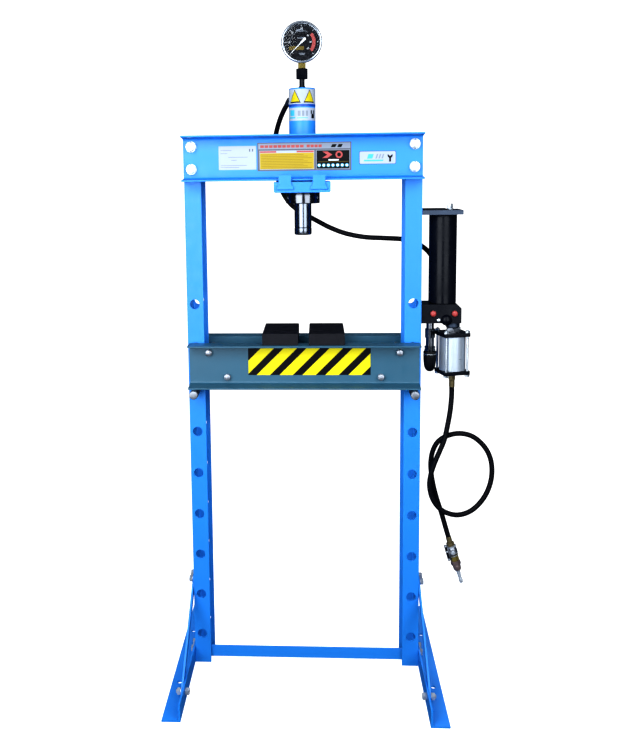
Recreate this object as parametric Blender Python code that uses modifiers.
"""Hydraulic H-frame shop press with a sliding cylinder carriage, a pinned bed and an air-driven pump.

Metres, +Z up. The press faces -Y. Every piece hangs under the empty "press", whose own frame has X = 0
midway between the posts, Y = 0 at the posts' front faces and Z = 0 on the floor; the empty shifts all
of it so that the world origin is the bottom centre of the machine without its air hose.
"""

import math

import bmesh
import bpy
from mathutils import Matrix, Vector

# ---------------------------------------------------------------- driving dimensions
CENTRE_X, CENTRE_Y = 0.03935, 0.0300      # bottom centre of the machine, seen from the posts
GAP = 0.0003                             # clearance between touching pieces
WASHER = 0.0022                          # thickness

FRAME_WIDTH = 0.640                      # over the posts
FRAME_HEIGHT = 1.504
POST_DEPTH, POST_FLANGE = 0.100, 0.046
WEB, TOE, ROOT, FILLET = 0.005, 0.0042, 0.0075, 0.005   # channel web, flange edge, flange root
CHANNEL_FLANGE = 0.052                   # head and bed channels
HEAD_BOTTOM, HEAD_HEIGHT = 1.383, 0.121
BED_HEIGHT = 0.120

PIN_RADIUS, PIN_HOLE_RADIUS = 0.01175, 0.0135
PIN_INSET = 0.0215                       # hole centres from the posts' outer faces
LOWEST_HOLE, HOLE_PITCH, HOLE_COUNT = 0.088, 0.120, 9
BED_HOLE = 6                             # the row that the pins are in
PIN_FRONT, PIN_LENGTH = -0.068, 0.226

HEAD_BOLT_HEIGHTS = {"lower": 1.4155, "upper": 1.4755}
BED_BOLTS = {"outer": (0.2615, 0.0940), "inner": (0.2110, 0.0260)}   # X, height above the bed's underside

FOOT_FRONT, FOOT_REAR = -0.290, 0.350
ANGLE_LEG, ANGLE_THICK = 0.050, 0.005
FOOT_BOLTS = {"front": 0.032, "rear": 0.068}
BRACE_FEET = {"front": -0.195, "rear": 0.255}
BRACE_TOP, BRACE_BOTTOM = 0.240, 0.028
BRACE_WIDTH, BRACE_THICK = 0.030, 0.005
ANCHOR_HOLES = (-0.113, 0.168)
CROSSBAR_BOTTOM, CROSSBAR_HEIGHT = 0.012, 0.032

AXIS_Y = POST_DEPTH / 2                  # the ram, gauge and tank all stand on this line
BARREL_RADIUS, BARREL_TOP, BARREL_BOTTOM = 0.036, 1.629, 1.320
BORE_RADIUS, RAM_RADIUS = 0.0290, 0.0235
SADDLE_TOP, RAM_BOTTOM = 1.254, 1.234
PLATE_BOTTOM, PLATE_TOP, PLATE_HALF = 1.3515, 1.3795, 0.0745
GAUGE_RADIUS, GAUGE_HEIGHT = 0.055, 1.750
GAUGE_FRONT = 0.030

BLOCK_WIDTH, BLOCK_DEPTH, BLOCK_THICK, BLOCK_GAP = 0.0970, 0.175, 0.0315, 0.0296
BLOCK_FRONT = -0.038

TANK_X, TANK_RADIUS, TANK_TOP = 0.382, 0.0375, 1.287
MANIFOLD_X, MANIFOLD_TOP, MANIFOLD_BOTTOM = (0.3206, 0.4295), 1.043, 0.991
MOTOR_X, MOTOR_Y, MOTOR_HALF = 0.411, 0.045, 0.038
MOTOR_TOP, MOTOR_BOTTOM, END_PLATE = 0.962, 0.846, 0.010
MOTOR_YAW, TIE_ROD_OFFSET = math.radians(15), 0.0310
VALVE_X, VALVE_Y = 0.3475, 0.030
HOSE_RADIUS, HYDRAULIC_RADIUS = 0.0072, 0.0070
ROUND = 24                               # sides of the large turned pieces

# Hose routes, chosen by hand from end to end in the posts' frame.
HYDRAULIC_ROUTE = (
    (-0.0425, 0.0925, 1.590), (-0.0510, 0.1050, 1.577), (-0.062, 0.124, 1.556), (-0.073, 0.149, 1.527),
    (-0.081, 0.171, 1.493), (-0.082, 0.183, 1.450), (-0.077, 0.186, 1.402), (-0.062, 0.184, 1.352),
    (-0.038, 0.175, 1.315), (-0.006, 0.163, 1.291), (0.032, 0.151, 1.270), (0.076, 0.142, 1.247),
    (0.122, 0.135, 1.230), (0.175, 0.129, 1.220), (0.230, 0.124, 1.217), (0.284, 0.121, 1.213),
    (0.325, 0.119, 1.199), (0.355, 0.118, 1.174), (0.373, 0.116, 1.140), (0.382, 0.113, 1.101),
    (0.385, 0.110, 1.070), (0.385, 0.109, 1.044),
)
AIR_ROUTE = (
    (0.411, 0.045, 0.806), (0.411, 0.045, 0.780), (0.407, 0.041, 0.738), (0.399, 0.035, 0.695),
    (0.390, 0.029, 0.658), (0.376, 0.025, 0.624), (0.362, 0.023, 0.590), (0.352, 0.022, 0.555),
    (0.350, 0.023, 0.525), (0.357, 0.024, 0.493), (0.373, 0.026, 0.466), (0.397, 0.029, 0.447),
    (0.432, 0.034, 0.438), (0.470, 0.040, 0.449), (0.502, 0.045, 0.480), (0.521, 0.049, 0.518),
    (0.528, 0.053, 0.558), (0.523, 0.056, 0.598), (0.505, 0.058, 0.632), (0.474, 0.059, 0.659),
    (0.438, 0.059, 0.668), (0.402, 0.059, 0.661), (0.376, 0.059, 0.643), (0.362, 0.059, 0.615),
    (0.357, 0.059, 0.580), (0.360, 0.059, 0.543), (0.367, 0.059, 0.507), (0.376, 0.058, 0.474),
    (0.387, 0.056, 0.440), (0.398, 0.053, 0.402), (0.408, 0.051, 0.367),
)

# ---------------------------------------------------------------- scene and materials
for leftover in list(bpy.data.objects):
    bpy.data.objects.remove(leftover)

PARTS = bpy.data.collections.new("hydraulic_shop_press")
CUTTERS = bpy.data.collections.new("cutters")
for made in (PARTS, CUTTERS):
    bpy.context.scene.collection.children.link(made)

PRESS = bpy.data.objects.new("press", None)
PRESS.location = (-CENTRE_X, -CENTRE_Y, 0)
PARTS.objects.link(PRESS)


def material(name, colour, roughness, metallic):
    made = bpy.data.materials.new(name)
    made.use_nodes = True
    shader = made.node_tree.nodes["Principled BSDF"]
    shader.inputs["Base Color"].default_value = (*colour, 1)
    shader.inputs["Roughness"].default_value = roughness
    shader.inputs["Metallic"].default_value = metallic
    made.diffuse_color = (*colour, 1)
    return made


BLUE = material("blue_paint", (0.05, 0.35, 0.90), 0.40, 0.0)
TEAL = material("slate_paint", (0.055, 0.165, 0.275), 0.42, 0.0)
BLACK = material("black_paint", (0.012, 0.014, 0.020), 0.30, 0.0)
STEEL = material("zinc_steel", (0.60, 0.63, 0.66), 0.35, 1.0)
DARK_CHROME = material("dark_chrome", (0.10, 0.11, 0.14), 0.12, 1.0)
ALUMINIUM = material("aluminium", (0.68, 0.72, 0.76), 0.35, 1.0)
BRASS = material("brass", (0.48, 0.38, 0.16), 0.35, 1.0)
RUBBER = material("rubber", (0.010, 0.011, 0.013), 0.55, 0.0)
RED = material("red_plastic", (0.72, 0.03, 0.03), 0.40, 0.0)
CAST = material("cast_iron", (0.014, 0.013, 0.013), 0.60, 0.4)
DIAL = material("dial_black", (0.010, 0.010, 0.012), 0.50, 0.0)
WHITE = material("white_enamel", (0.85, 0.85, 0.85), 0.40, 0.0)
GLASS = material("clear_glass", (0.92, 0.95, 0.96), 0.04, 0.0)


# ---------------------------------------------------------------- modelling helpers
def put(name, data, skin, at=(0, 0, 0), turn=None, collection=PARTS):
    """An object under the press, with its origin at a point of the posts' frame."""
    made = bpy.data.objects.new(name, data)
    collection.objects.link(made)
    made.parent = PRESS
    made.matrix_basis = Matrix.Translation(at) @ (turn or Matrix()).to_4x4()
    if skin:
        data.materials.clear()
        data.materials.append(skin)
    return made


def facing(direction):
    """The rotation that turns local +Z to a direction."""
    return Vector(direction).normalized().to_track_quat("Z", "Y").to_matrix()


PLANES = {
    "XY": Matrix.Identity(3),
    "XZ": Matrix(((1, 0, 0), (0, 0, -1), (0, 1, 0))),
    "YZ": Matrix(((0, 0, 1), (1, 0, 0), (0, 1, 0))),
}


def meshed(curve_object):
    """Replaces a curve object by its closed mesh, in the same place."""
    bpy.context.view_layer.update()
    graph = bpy.context.evaluated_depsgraph_get()
    mesh = bpy.data.meshes.new_from_object(curve_object.evaluated_get(graph))
    shape = bmesh.new()
    shape.from_mesh(mesh)
    bmesh.ops.remove_doubles(shape, verts=shape.verts, dist=0.00001)
    bmesh.ops.recalc_face_normals(shape, faces=shape.faces)
    shape.to_mesh(mesh)
    shape.free()
    name, collection = curve_object.name, curve_object.users_collection[0]
    parent, basis = curve_object.parent, curve_object.matrix_basis.copy()
    bpy.data.objects.remove(curve_object)
    made = bpy.data.objects.new(name, mesh)
    collection.objects.link(made)
    made.parent, made.matrix_basis = parent, basis
    return made


def prism(name, outline, plane, low, high, skin, at=(0, 0, 0), collection=PARTS):
    """A flat outline in a plane, extruded between two places along the plane's third axis."""
    curve = bpy.data.curves.new(name, "CURVE")
    curve.dimensions, curve.fill_mode = "2D", "BOTH"
    curve.extrude = (high - low) / 2
    spline = curve.splines.new("POLY")
    spline.points.add(len(outline) - 1)
    for point, (u, v) in zip(spline.points, outline):
        point.co = (u, v, 0, 1)
    spline.use_cyclic_u = True
    along = {"XY": (0, 0, 1), "XZ": (0, 1, 0), "YZ": (1, 0, 0)}[plane]
    middle = Vector(at) + Vector(along) * (low + high) / 2
    return meshed(put(name, curve, skin, middle, PLANES[plane], collection))


def box(name, low, high, skin, collection=PARTS):
    outline = [(low[0], low[1]), (high[0], low[1]), (high[0], high[1]), (low[0], high[1])]
    return prism(name, outline, "XY", low[2], high[2], skin, collection=collection)


def turned(name, profile, steps, skin, at=(0, 0, 0), turn=None, closed=False, collection=PARTS):
    """A profile of (radius, height) points, outer side first and top to bottom, swept round +Z."""
    mesh = bpy.data.meshes.new(name)
    points = [(r, 0, z) for r, z in profile]
    edges = [(i, i + 1) for i in range(len(points) - 1)]
    if closed:
        edges.append((len(points) - 1, 0))
    mesh.from_pydata(points, edges, [])
    made = put(name, mesh, skin, at, turn, collection)
    screw = made.modifiers.new("Turn", "SCREW")
    screw.steps = screw.render_steps = steps
    screw.use_merge_vertices, screw.merge_threshold = True, 0.00001
    screw.use_smooth_shade = True
    return made


def ring_points(kind, radius, height, count=12):
    """A round or hexagonal ring. A hexagon's radius is half its width across flats."""
    points = []
    for i in range(count):
        angle = 2 * math.pi * i / count
        reach = radius
        if kind == "hex":
            reach = radius / math.cos((angle + math.pi / 6) % (math.pi / 3) - math.pi / 6)
        points.append((reach * math.cos(angle), reach * math.sin(angle), height))
    return points


def lofted(name, stations, skin, at=(0, 0, 0), turn=None, count=12, collection=PARTS):
    """A solid through round and hexagonal rings, listed from low to high."""
    shape = bmesh.new()
    rings = [[shape.verts.new(p) for p in ring_points(kind, r, z, count)] for kind, r, z in stations]
    shape.faces.new(reversed(rings[0]))
    shape.faces.new(rings[-1])
    for low, high in zip(rings, rings[1:]):
        for i in range(count):
            j = (i + 1) % count
            shape.faces.new((low[i], low[j], high[j], high[i]))
    mesh = bpy.data.meshes.new(name)
    shape.to_mesh(mesh)
    shape.free()
    return put(name, mesh, skin, at, turn, collection)


def combine(target, others, operation):
    for other in others:
        other.hide_render = True
        other.display_type = "WIRE"
        step = target.modifiers.new(operation.title(), "BOOLEAN")
        step.operation, step.object, step.solver = operation, other, "EXACT"
    return target


def cut(target, *others):
    return combine(target, others, "DIFFERENCE")


def join(target, *others):
    return combine(target, others, "UNION")


def drills(name, holes, direction, steps=12):
    """One cutter of round bars: (centre, radius, length) each, along a direction."""
    shape = bmesh.new()
    turn = facing(direction).to_4x4()
    for centre, radius, length in holes:
        where = Matrix.Translation(centre) @ turn
        bmesh.ops.create_cone(
            shape, cap_ends=True, segments=steps, radius1=radius, radius2=radius, depth=length, matrix=where
        )
    mesh = bpy.data.meshes.new(name)
    shape.to_mesh(mesh)
    shape.free()
    return put(name, mesh, None, collection=CUTTERS)


def channel_outline(depth, flange, web=WEB):
    """A rolled channel's section: web on the left, both flanges to +u, with sloped inner faces."""
    half = [
        (0, 0), (flange - 0.0015, 0), (flange, 0.0015), (flange, TOE), (web + FILLET, ROOT),
        (web, ROOT + FILLET),
    ]
    return half + [(u, depth - v) for u, v in reversed(half)]


def smooth_route(route, spacing):
    """Points a given distance apart on a smooth curve through the route's own points."""
    knots = [Vector(p) for p in route]
    knots = [2 * knots[0] - knots[1], *knots, 2 * knots[-1] - knots[-2]]
    fine = []
    for a, b, c, d in zip(knots, knots[1:], knots[2:], knots[3:]):
        for step in range(12):
            t = step / 12
            fine.append(
                0.5 * (2 * b + (c - a) * t + (2 * a - 5 * b + 4 * c - d) * t**2
                       + (3 * b - a - 3 * c + d) * t**3)
            )
    fine.append(knots[-2])
    lengths = [0.0]
    for a, b in zip(fine, fine[1:]):
        lengths.append(lengths[-1] + (b - a).length)
    count = max(2, round(lengths[-1] / spacing))
    points, i = [], 0
    for n in range(count + 1):
        goal = lengths[-1] * n / count
        while i < len(fine) - 2 and lengths[i + 1] < goal:
            i += 1
        share = (goal - lengths[i]) / (lengths[i + 1] - lengths[i])
        points.append(fine[i].lerp(fine[i + 1], share))
    return points


def hose(name, points, radius, skin):
    curve = bpy.data.curves.new(name, "CURVE")
    curve.dimensions = "3D"
    curve.bevel_depth, curve.bevel_resolution, curve.use_fill_caps = radius, 2, True
    spline = curve.splines.new("POLY")
    spline.points.add(len(points) - 1)
    for spot, point in zip(spline.points, points):
        spot.co = (*point, 1)
    return put(name, curve, skin)


def bolt(name, head, direction, grip, radius, flats, skin=STEEL, sleeve=None, spare=0.006):
    """Hex bolt with washers and a nut. head is under the bolt head; grip runs to the nut's near face.

    sleeve is (start, end, radius) of a spacer round the shank between two plates.
    """
    across, washer, nut = flats / 2, radius * 1.85, radius * 1.6
    stations = [
        ("hex", across, -WASHER - nut), ("hex", across, -WASHER), ("round", washer, -WASHER),
        ("round", washer, -GAP), ("round", radius, -GAP),
    ]
    if sleeve:
        start, end, wide = sleeve
        stations += [("round", radius, start), ("round", wide, start)]
        stations += [("round", wide, end), ("round", radius, end)]
    far = grip + GAP
    stations += [
        ("round", radius, far), ("round", washer, far), ("round", washer, far + WASHER),
        ("hex", across, far + WASHER), ("hex", across, far + WASHER + nut),
        ("round", radius, far + WASHER + nut), ("round", radius, far + WASHER + nut + spare),
    ]
    return lofted(name, stations, skin, head, facing(direction))


SIDES = {"left": -1, "right": 1}
HALF_WIDTH = FRAME_WIDTH / 2
HOLE_X = HALF_WIDTH - PIN_INSET
PIN_HEIGHT = LOWEST_HOLE + BED_HOLE * HOLE_PITCH
BED_BOTTOM = PIN_HEIGHT + PIN_RADIUS + GAP
BED_TOP = BED_BOTTOM + BED_HEIGHT


# ---------------------------------------------------------------- frame
def make_post(side, sign):
    outline = [(sign * (HALF_WIDTH - u), v) for u, v in channel_outline(POST_DEPTH, POST_FLANGE)]
    post = prism(f"post_{side}", outline, "XY", 0, FRAME_HEIGHT - 0.001, BLUE)
    across = [
        ((sign * HOLE_X, AXIS_Y, LOWEST_HOLE + row * HOLE_PITCH), PIN_HOLE_RADIUS, POST_DEPTH + 0.02)
        for row in range(HOLE_COUNT)
    ]
    across += [
        ((sign * HOLE_X, AXIS_Y, height), 0.0085, POST_DEPTH + 0.02) for height in HEAD_BOLT_HEIGHTS.values()
    ]
    through_web = [
        ((sign * (HALF_WIDTH - WEB / 2), y, ANGLE_LEG / 2), 0.0058, 0.03) for y in FOOT_BOLTS.values()
    ]
    return cut(
        post,
        drills(f"post_{side}_holes", across, (0, 1, 0), 16),
        drills(f"post_{side}_web_holes", through_web, (1, 0, 0)),
    )


def make_beam(name, bottom, height, half_length, web_back, face, bolts, skin):
    """A channel laid on its back, web against the posts and flanges pointing away (face is -1 or +1 in Y)."""
    outline = [(web_back + face * u, bottom + v) for u, v in channel_outline(height, CHANNEL_FLANGE)]
    beam = prism(name, outline, "YZ", -half_length, half_length, skin)
    middle = web_back + face * WEB / 2
    holes = [((x, middle, z), radius, 0.03) for x, z, radius in bolts]
    return cut(beam, drills(f"{name}_holes", holes, (0, 1, 0)))


def make_head():
    bolts = [(sign * HOLE_X, z, 0.0085) for sign in SIDES.values() for z in HEAD_BOLT_HEIGHTS.values()]
    for name, back, face in (("front", -GAP, -1), ("rear", POST_DEPTH + GAP, 1)):
        make_beam(f"head_channel_{name}", HEAD_BOTTOM, HEAD_HEIGHT, HALF_WIDTH, back, face, bolts, BLUE)
    for side, sign in SIDES.items():
        for level, z in HEAD_BOLT_HEIGHTS.items():
            head = (sign * HOLE_X, -GAP - WEB, z)
            bolt(f"head_bolt_{side}_{level}", head, (0, 1, 0), POST_DEPTH + 2 * (GAP + WEB), 0.0078, 0.024)


def make_foot(side, sign):
    inner = HALF_WIDTH + GAP
    section = [
        (0, 0), (ANGLE_LEG - 0.001, 0), (ANGLE_LEG, 0.001), (ANGLE_LEG, ANGLE_THICK - 0.001),
        (ANGLE_LEG - 0.001, ANGLE_THICK), (0.009, ANGLE_THICK), (ANGLE_THICK, 0.009),
        (ANGLE_THICK, ANGLE_LEG - 0.001), (0.004, ANGLE_LEG), (0, ANGLE_LEG),
    ]
    outline = [(sign * (inner + u), v) for u, v in section]
    foot = prism(f"foot_{side}", outline, "XZ", FOOT_FRONT, FOOT_REAR, BLUE)
    anchors = [((sign * (inner + 0.028), y, 0), 0.007, 0.03) for y in ANCHOR_HOLES]
    bolts = [((sign * inner, y, ANGLE_LEG / 2), 0.0058, 0.03) for y in FOOT_BOLTS.values()]
    cut(
        foot,
        drills(f"foot_{side}_anchor_holes", anchors, (0, 0, 1)),
        drills(f"foot_{side}_bolt_holes", bolts, (1, 0, 0)),
    )
    outside = inner + ANGLE_THICK
    for place, y in FOOT_BOLTS.items():
        head = (sign * outside, y, ANGLE_LEG / 2)
        bolt(f"foot_bolt_{side}_{place}", head, (-sign, 0, 0), ANGLE_THICK + WEB + GAP, 0.0052, 0.018,
             spare=0.003)


def make_brace(side, sign, place):
    """A flat bar with round ends, leaning from the post's side down to the foot's upright leg."""
    top = Vector((FOOT_BOLTS[place], BRACE_TOP))
    bottom = Vector((BRACE_FEET[place], BRACE_BOTTOM))
    along = (top - bottom).normalized()
    start = math.atan2(along.y, along.x)
    outline = []
    for centre, turn in ((top, start - math.pi / 2), (bottom, start + math.pi / 2)):
        for step in range(7):
            angle = turn + math.pi * step / 6
            outline.append((centre + Vector((math.cos(angle), math.sin(angle))) * BRACE_WIDTH / 2)[:])
    near = HALF_WIDTH + GAP
    low, high = sorted((sign * near, sign * (near + BRACE_THICK)))
    brace = prism(f"brace_{side}_{place}", outline, "YZ", low, high, BLUE)
    highest = BRACE_TOP + BRACE_WIDTH / 2
    lean = (ANGLE_THICK + GAP) / (highest - ANGLE_LEG)
    drop = Matrix.Identity(4)
    drop[2][1] = -sign * lean     # local Y is the press's Z here, and local Z its X
    brace.data.transform(drop)
    brace.location.x += sign * lean * highest


def make_frame():
    for side, sign in SIDES.items():
        make_post(side, sign)
        make_foot(side, sign)
        for place in FOOT_BOLTS:
            make_brace(side, sign, place)
    make_head()
    inside = HALF_WIDTH - WEB - GAP
    behind_flange = ROOT + FILLET
    box(
        "base_crossbar",
        (-inside, behind_flange, CROSSBAR_BOTTOM),
        (inside, behind_flange + 0.006, CROSSBAR_BOTTOM + CROSSBAR_HEIGHT),
        BLUE,
    )


# ---------------------------------------------------------------- cylinder carriage
def make_carriage():
    """A plate hung under the head by four claws that reach over its lower flanges."""
    front, rear = -CHANNEL_FLANGE - 0.015, POST_DEPTH + CHANNEL_FLANGE + 0.015
    cant = 0.006
    outline = [
        (-PLATE_HALF + cant, PLATE_BOTTOM), (PLATE_HALF - cant, PLATE_BOTTOM),
        (PLATE_HALF, PLATE_BOTTOM + cant),
        (PLATE_HALF, PLATE_TOP), (-PLATE_HALF, PLATE_TOP), (-PLATE_HALF, PLATE_BOTTOM + cant),
    ]
    plate = prism("cylinder_carriage", outline, "XZ", front, rear, BLUE)
    claws = []
    for sign in SIDES.values():
        middle, claw_top = sign * 0.0445, HEAD_BOTTOM + 0.0150
        pad = [(-0.0225, 1.3600), (0.0225, 1.3600), (0.0165, 1.3720), (0.0165, claw_top), (-0.0165, claw_top),
               (-0.0165, 1.3720)]
        pad = [(middle + u, v) for u, v in pad]
        hook_low, hook_high = HEAD_BOTTOM + 0.0078, claw_top - 0.0006
        for face, edge in ((-1, front), (1, rear)):
            outer, inner = edge + face * 0.003, edge - face * 0.0135
            claws.append(prism("claw", pad, "XZ", *sorted((outer, inner)), None, collection=CUTTERS))
            low, high = sorted((edge, edge - face * 0.036))
            claws.append(
                box("claw_hook", (middle - 0.0160, low, hook_low), (middle + 0.0160, high, hook_high),
                    None, CUTTERS)
            )
    join(plate, *claws)
    opening = ((0, AXIS_Y, PLATE_BOTTOM), BARREL_RADIUS + 0.0008, 0.2)
    bore = drills("carriage_bore", [opening], (0, 0, 1), ROUND)
    cut(plate, bore)


def make_cylinder():
    r = BARREL_RADIUS
    barrel = [
        (0, BARREL_TOP), (r - 0.003, BARREL_TOP), (r, BARREL_TOP - 0.003), (r, PLATE_TOP + 0.012),
        (r + 0.006, PLATE_TOP + 0.012), (r + 0.006, PLATE_TOP + GAP), (r, PLATE_TOP + GAP),
        (r, BARREL_BOTTOM),
        (RAM_RADIUS + 0.0005, BARREL_BOTTOM), (RAM_RADIUS + 0.0005, BARREL_BOTTOM + 0.035),
        (BORE_RADIUS, BARREL_BOTTOM + 0.035), (BORE_RADIUS, BARREL_TOP - 0.024), (0, BARREL_TOP - 0.024),
    ]
    turned("cylinder_barrel", barrel, ROUND, BLUE, (0, AXIS_Y, 0))
    nut_top, nut_inner, nut_outer = PLATE_BOTTOM - GAP, BARREL_RADIUS + 0.0005, 0.0465
    ring = [
        (nut_inner, nut_top), (nut_outer - 0.002, nut_top), (nut_outer, nut_top - 0.002),
        (nut_outer, BARREL_BOTTOM + 0.002), (nut_outer - 0.002, BARREL_BOTTOM), (nut_inner, BARREL_BOTTOM),
    ]
    turned("cylinder_ring_nut", ring, ROUND, BLACK, (0, AXIS_Y, 0), closed=True)
    piston_top = BARREL_TOP - 0.0245
    piston_low = piston_top - 0.030
    r = RAM_RADIUS
    rod = [
        (0, piston_top), (BORE_RADIUS - 0.0024, piston_top), (BORE_RADIUS - 0.0004, piston_top - 0.002),
        (BORE_RADIUS - 0.0004, piston_low), (r, piston_low), (r, SADDLE_TOP + 0.0015),
        (r - 0.0012, SADDLE_TOP + GAP), (0, SADDLE_TOP + GAP),
    ]
    turned("ram", rod, ROUND, DARK_CHROME, (0, AXIS_Y, 0))
    nose = [
        (0, SADDLE_TOP), (r - 0.001, SADDLE_TOP), (r + 0.0003, SADDLE_TOP - 0.0015),
        (r + 0.0003, RAM_BOTTOM + 0.003),
        (r - 0.0025, RAM_BOTTOM), (0, RAM_BOTTOM),
    ]
    turned("ram_saddle", nose, ROUND, DARK_CHROME, (0, AXIS_Y, 0))


def make_gauge():
    """A bottom-entry pressure gauge on a pipe above the barrel. Its own axis points to the front."""
    lofted(
        "gauge_pipe",
        [("round", 0.0095, BARREL_TOP + GAP), ("round", 0.0095, 1.633), ("round", 0.0072, 1.633),
         ("round", 0.0072, 1.6537)],
        BLACK, (0, AXIS_Y, 0),
    )
    lofted(
        "gauge_coupling",
        [("hex", 0.0145, 1.6540), ("hex", 0.0155, 1.6560), ("hex", 0.0155, 1.6790), ("hex", 0.0145, 1.6810)],
        BLACK, (0, AXIS_Y, 0),
    )
    to_front = facing((0, -1, 0))
    centre = (0, GAUGE_FRONT, GAUGE_HEIGHT)
    r = GAUGE_RADIUS
    # from the dial's seat, up the recess, over the bezel and down the outside to the back
    case = [
        (0, -0.0125), (r - 0.0060, -0.0125), (r - 0.0060, -0.0020), (r - 0.0055, 0), (r - 0.0020, 0),
        (r, -0.0030), (r, -0.0085), (r - 0.0030, -0.0105), (r - 0.0030, -0.0390), (r - 0.0060, -0.0420),
        (0, -0.0420),
    ]
    shell = turned("gauge_case", case, ROUND, STEEL, centre, to_front)
    stem = [("hex", 0.0100, 1.6813), ("hex", 0.0100, GAUGE_HEIGHT - r + 0.006)]
    join(shell, lofted("gauge_stem", stem, None, (0, AXIS_Y, 0), collection=CUTTERS))
    dial_back = GAUGE_FRONT + 0.0125 - GAP
    turned(
        "gauge_dial", [(0, 0.0012), (r - 0.0065, 0.0012), (r - 0.0065, 0), (0, 0)], ROUND, DIAL,
        (0, dial_back, GAUGE_HEIGHT), to_front,
    )
    turned(
        "gauge_lens", [(0, 0.0018), (r - 0.0065, 0.0018), (r - 0.0065, 0), (0, 0)], ROUND, GLASS,
        (0, GAUGE_FRONT + 0.0045, GAUGE_HEIGHT), to_front,
    )
    rest = math.radians(225)
    reach, tail, wide = 0.0420, -0.0140, 0.0026
    pointer = [(tail, -wide), (0.004, -wide), (reach, -0.0005), (reach, 0.0005), (0.004, wide), (tail, wide)]
    swing = Matrix.Rotation(rest, 2)
    pointer = [(swing @ Vector(point))[:] for point in pointer]
    pivot = (0, GAUGE_FRONT + 0.0090, GAUGE_HEIGHT)
    hand = prism("gauge_needle", pointer, "XZ", -0.0005, 0.0005, WHITE, pivot)
    hub = turned(
        "needle_hub", [(0, 0.0014), (0.0050, 0.0014), (0.0050, -0.0014), (0, -0.0014)], 16, None, pivot,
        to_front,
        collection=CUTTERS,
    )
    join(hand, hub)


# ---------------------------------------------------------------- bed
def make_bed():
    half_length, slack = HALF_WIDTH - 0.0045, 0.0010
    bolts = [
        (sign * x, BED_BOTTOM + height, 0.0068) for sign in SIDES.values() for x, height in BED_BOLTS.values()
    ]
    backs = {"front": (-slack, -1), "rear": (POST_DEPTH + slack, 1)}
    for name, (back, face) in backs.items():
        make_beam(f"bed_channel_{name}", BED_BOTTOM, BED_HEIGHT, half_length, back, face, bolts, TEAL)
    start = WEB + GAP
    span = POST_DEPTH + 2 * slack
    for side, sign in SIDES.items():
        for place, (x, height) in BED_BOLTS.items():
            head = (sign * x, -slack - WEB, BED_BOTTOM + height)
            bolt(
                f"bed_bolt_{side}_{place}", head, (0, 1, 0), span + 2 * WEB, 0.0060, 0.019,
                sleeve=(start, start + span - 2 * GAP, 0.0095),
            )
        cant = 0.0015
        turned(
            f"bed_pin_{side}",
            [(0, PIN_LENGTH), (PIN_RADIUS - cant, PIN_LENGTH), (PIN_RADIUS, PIN_LENGTH - cant),
             (PIN_RADIUS, cant), (PIN_RADIUS - cant, 0), (0, 0)],
            16, STEEL, (sign * HOLE_X, PIN_FRONT + PIN_LENGTH, PIN_HEIGHT), facing((0, -1, 0)),
        )


def make_blocks():
    cant = 0.002
    low, high = BED_TOP + GAP, BED_TOP + GAP + BLOCK_THICK
    for side, sign in SIDES.items():
        near, far = sign * BLOCK_GAP / 2, sign * (BLOCK_GAP / 2 + BLOCK_WIDTH)
        left, right = sorted((near, far))
        outline = [
            (left, low), (right, low), (right, high - cant), (right - cant, high), (left + cant, high),
            (left, high - cant),
        ]
        prism(f"press_block_{side}", outline, "XZ", BLOCK_FRONT, BLOCK_FRONT + BLOCK_DEPTH, CAST)


# ---------------------------------------------------------------- pump
def make_tank():
    bracket = (
        (HALF_WIDTH + GAP, 0.0, TANK_TOP), (0.4293, POST_DEPTH, TANK_TOP + 0.012),
    )
    plate = box("pump_bracket", *bracket, STEEL)
    cut(plate, drills("bracket_hole", [((0.4005, AXIS_Y, TANK_TOP), 0.0056, 0.05)], (0, 0, 1)))
    r, bottom, top = TANK_RADIUS, MANIFOLD_TOP + GAP, TANK_TOP - GAP
    wall = [
        (0, top), (r - 0.002, top), (r, top - 0.002), (r, bottom), (r - 0.0035, bottom),
        (r - 0.0035, top - 0.006), (0, top - 0.006),
    ]
    tank = turned("oil_tank", wall, ROUND, BLACK, (TANK_X, AXIS_Y, 0))
    cut(tank, drills("tank_hole", [((0.4005, AXIS_Y, TANK_TOP), 0.0056, 0.05)], (0, 0, 1)))
    upper = TANK_TOP + 0.012 + GAP
    lofted(
        "tank_bolt",
        [("round", 0.0050, TANK_TOP - 0.014), ("round", 0.0050, upper), ("round", 0.0105, upper),
         ("round", 0.0105, upper + 0.002), ("hex", 0.0075, upper + 0.002), ("hex", 0.0075, upper + 0.0135),
         ("hex", 0.0066, upper + 0.0155)],
        STEEL, (0.4005, AXIS_Y, 0),
    )


def make_manifold():
    left, right = MANIFOLD_X
    cant = 0.011
    outline = [
        (left, MANIFOLD_BOTTOM), (right, MANIFOLD_BOTTOM), (right, MANIFOLD_TOP - cant),
        (right - cant, MANIFOLD_TOP),
        (left, MANIFOLD_TOP),
    ]
    block = prism("pump_manifold", outline, "XZ", 0.010, 0.090, BLACK)
    ports = [((x, 0.010, 1.0180), 0.0062, 0.02) for x in (0.3534, 0.4114)]
    ports.append(((0.385, 0.090, 1.0170), 0.0070, 0.024))
    plunger_bore = drills("plunger_bore", [((MOTOR_X, MOTOR_Y, MANIFOLD_BOTTOM), 0.0070, 0.050)], (0, 0, 1))
    cut(block, drills("manifold_ports", ports, (0, 1, 0)), plunger_bore)
    for side, x in (("left", 0.3534), ("right", 0.4114)):
        cap = [
            (0, 0.006), (0.0066, 0.006), (0.0082, 0.0045), (0.0082, GAP), (0.0056, GAP), (0.0056, -0.008),
            (0, -0.008),
        ]
        turned(f"port_cap_{side}", cap, 16, RED, (x, 0.010, 1.0180), facing((0, -1, 0)))


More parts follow.
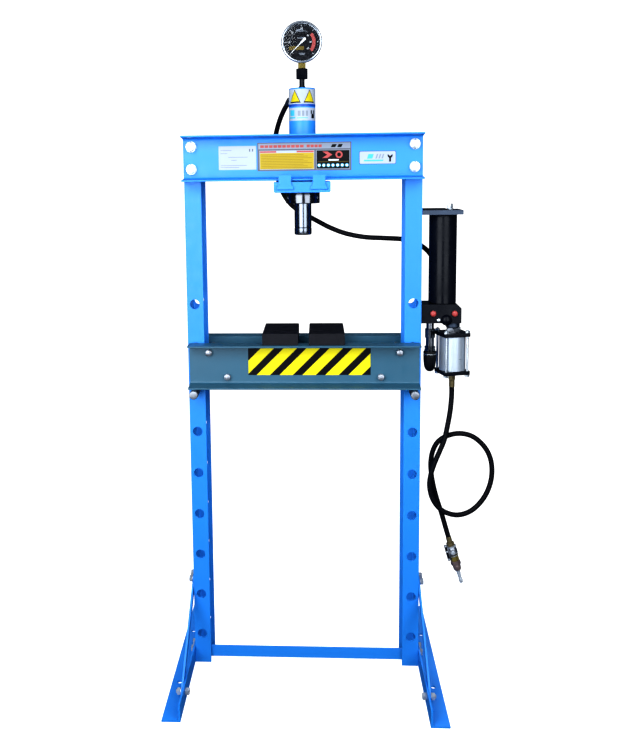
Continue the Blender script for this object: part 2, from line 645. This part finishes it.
def make_release_valve():
    at = (VALVE_X, VALVE_Y, 0)
    lofted(
        "release_valve",
        [("round", 0.0150, 0.9120), ("round", 0.0150, 0.9240), ("round", 0.0115, 0.9250),
         ("round", 0.0115, 0.9480),
         ("hex", 0.0130, 0.9480), ("hex", 0.0130, 0.9740), ("round", 0.0105, 0.9740),
         ("round", 0.0105, MANIFOLD_BOTTOM - GAP)],
        BLACK, at,
    )
    knob = [
        (0, 0.9117), (0.0165, 0.9117), (0.0180, 0.9100), (0.0180, 0.8860), (0.0165, 0.8720), (0.0130, 0.8610),
        (0.0070, 0.8550), (0, 0.8535),
    ]
    turned("release_knob", knob, 16, RUBBER, at)


def swung(made):
    """Turns an object about the motor's own axis, as the motor is screwed in."""
    centre = Matrix.Translation((MOTOR_X, MOTOR_Y, 0))
    made.matrix_basis = centre @ Matrix.Rotation(MOTOR_YAW, 4, "Z") @ centre.inverted() @ made.matrix_basis
    return made


def make_motor():
    """Air motor: two square end plates on a round barrel, held by four tie rods."""
    at = (MOTOR_X, MOTOR_Y, 0)
    low, high = (MOTOR_X - MOTOR_HALF, MOTOR_Y - MOTOR_HALF), (MOTOR_X + MOTOR_HALF, MOTOR_Y + MOTOR_HALF)
    r = TIE_ROD_OFFSET
    rods = [(MOTOR_X + i * r, MOTOR_Y + j * r) for i in (-1, 1) for j in (-1, 1)]
    head = swung(box("motor_head", (*low, MOTOR_TOP - END_PLATE), (*high, MOTOR_TOP), BLACK))
    collar = [
        ("round", 0.0150, MOTOR_TOP - 0.003), ("round", 0.0150, MOTOR_TOP + 0.004),
        ("hex", 0.0140, MOTOR_TOP + 0.004),
        ("hex", 0.0140, MOTOR_TOP + 0.014), ("round", 0.0195, MOTOR_TOP + 0.014),
        ("round", 0.0195, MANIFOLD_BOTTOM - GAP),
    ]
    join(head, swung(lofted("motor_neck", collar, None, at, count=ROUND, collection=CUTTERS)))
    holes = drills("motor_head_holes", [((x, y, MOTOR_TOP), 0.0042, 0.04) for x, y in rods], (0, 0, 1), 8)
    bore = drills("motor_head_bore", [((*at[:2], MOTOR_TOP + 0.01), 0.0075, 0.08)], (0, 0, 1))
    cut(head, swung(holes), swung(bore))
    r = 0.036
    bottom, top = MOTOR_BOTTOM + END_PLATE + GAP, MOTOR_TOP - END_PLATE - GAP
    tube = [(r - 0.003, top), (r, top), (r, bottom), (r - 0.003, bottom)]
    turned("motor_barrel", tube, ROUND, ALUMINIUM, at, closed=True)
    base = swung(box("motor_base", (*low, MOTOR_BOTTOM), (*high, MOTOR_BOTTOM + END_PLATE), BLACK))
    cut(base, swung(drills("motor_base_port", [((*at[:2], MOTOR_BOTTOM), 0.0062, 0.04)], (0, 0, 1))))
    tie = [
        ("hex", 0.0062, MOTOR_BOTTOM - 0.006), ("hex", 0.0062, MOTOR_BOTTOM + 0.001),
        ("round", 0.0033, MOTOR_BOTTOM + 0.001), ("round", 0.0033, MOTOR_TOP + GAP),
        ("hex", 0.0062, MOTOR_TOP + GAP), ("hex", 0.0062, MOTOR_TOP + 0.006),
        ("round", 0.0033, MOTOR_TOP + 0.006),
        ("round", 0.0033, MOTOR_TOP + 0.009),
    ]
    ties = [swung(lofted("tie_rod", tie, None, (x, y, 0), count=6, collection=CUTTERS)) for x, y in rods]
    join(base, *ties)
    piston_low = MOTOR_BOTTOM + END_PLATE + 0.0006
    piston = [
        (0, 0.962), (0.0060, 0.962), (0.0060, piston_low + 0.014), (r - 0.0034, piston_low + 0.014),
        (r - 0.0034, piston_low), (0, piston_low),
    ]
    turned("air_piston", piston, ROUND, STEEL, at)
    lofted(
        "air_inlet",
        [("round", 0.0078, AIR_ROUTE[0][2] + GAP), ("round", 0.0080, 0.8075), ("round", 0.0080, 0.8260),
         ("hex", 0.0085, 0.8260), ("hex", 0.0085, 0.8400), ("round", 0.0105, 0.8400),
         ("round", 0.0105, MOTOR_BOTTOM - GAP)],
        BRASS, at,
    )


# ---------------------------------------------------------------- hoses and what is on them
def elbow(name, hose_end, outward, neck, to_port, reach):
    """A hose fitting: a neck from the hose's end back to a corner, and a hexagon from there to its port."""
    corner = hose_end - outward * neck
    body = lofted(
        name,
        [("hex", 0.0085, 0), ("hex", 0.0085, reach * 0.55), ("round", 0.0065, reach * 0.55),
         ("round", 0.0065, reach)],
        STEEL, corner, facing(to_port),
    )
    barb = [("round", 0.0078, -0.0060), ("round", 0.0078, neck * 0.6), ("round", 0.0070, neck - GAP)]
    return join(body, lofted("barb", barb, None, corner, facing(outward), collection=CUTTERS))


def make_hydraulic_hose():
    path = smooth_route(HYDRAULIC_ROUTE, 0.030)
    neck = 0.013
    outward = (path[1] - path[0]).normalized()
    corner = path[0] - outward * neck
    to_axis = Vector((-corner.x, AXIS_Y - corner.y, 0))
    elbow("hose_fitting_cylinder", path[0], outward, neck, to_axis, to_axis.length - BARREL_RADIUS - 0.0005)
    neck = 0.026
    outward = (path[-2] - path[-1]).normalized()
    reach = (path[-1] - outward * neck).y - 0.0900 - GAP
    elbow("hose_fitting_manifold", path[-1], outward, neck, (0, -1, 0), reach)
    hose("hydraulic_hose", path, HYDRAULIC_RADIUS, RUBBER)


def make_air_hose():
    path = smooth_route(AIR_ROUTE, 0.034)
    hose("air_hose", path, HOSE_RADIUS, RUBBER)
    end, down = path[-1], (path[-1] - path[-2]).normalized()
    turn = facing(down)
    lofted(
        "air_valve_body",
        [("round", 0.0076, GAP), ("round", 0.0082, 0.016), ("hex", 0.0100, 0.016), ("hex", 0.0100, 0.028),
         ("round", 0.0130, 0.034), ("round", 0.0145, 0.043), ("round", 0.0130, 0.052), ("hex", 0.0110, 0.058),
         ("hex", 0.0110, 0.072)],
        BRASS, end, turn,
    )
    lofted(
        "air_coupler",
        [("hex", 0.0125, 0.0723), ("hex", 0.0125, 0.0850), ("round", 0.0120, 0.0850),
         ("round", 0.0105, 0.1000),
         ("round", 0.0055, 0.1030), ("round", 0.0055, 0.1150), ("round", 0.0042, 0.1190),
         ("round", 0.0042, 0.1250),
         ("round", 0.0058, 0.1280), ("round", 0.0050, 0.1400)],
        STEEL, end, turn,
    )
    pivot = end + down * 0.043 + Vector((0, -0.0155, 0))
    side = Vector((down.z, 0, -down.x)).normalized()
    flat = Vector((-down.x, 0, -down.z)).normalized()
    outline = []
    hub, near, far, low, high = 0.0080, 0.0118, 0.0200, -0.0200, 0.0300
    corners = ((-hub, -hub), (hub, -hub), (near, low), (far, low),
               (far, high), (near, high), (hub, hub), (-hub, hub))
    for u, v in corners:
        spot = side * u + flat * v
        outline.append((spot.x, spot.z))
    prism("air_valve_lever", outline, "XZ", -0.0030, 0, STEEL, pivot)


make_frame()
make_carriage()
make_cylinder()
make_gauge()
make_bed()
make_blocks()
make_tank()
make_manifold()
make_release_valve()
make_motor()
make_hydraulic_hose()
make_air_hose()
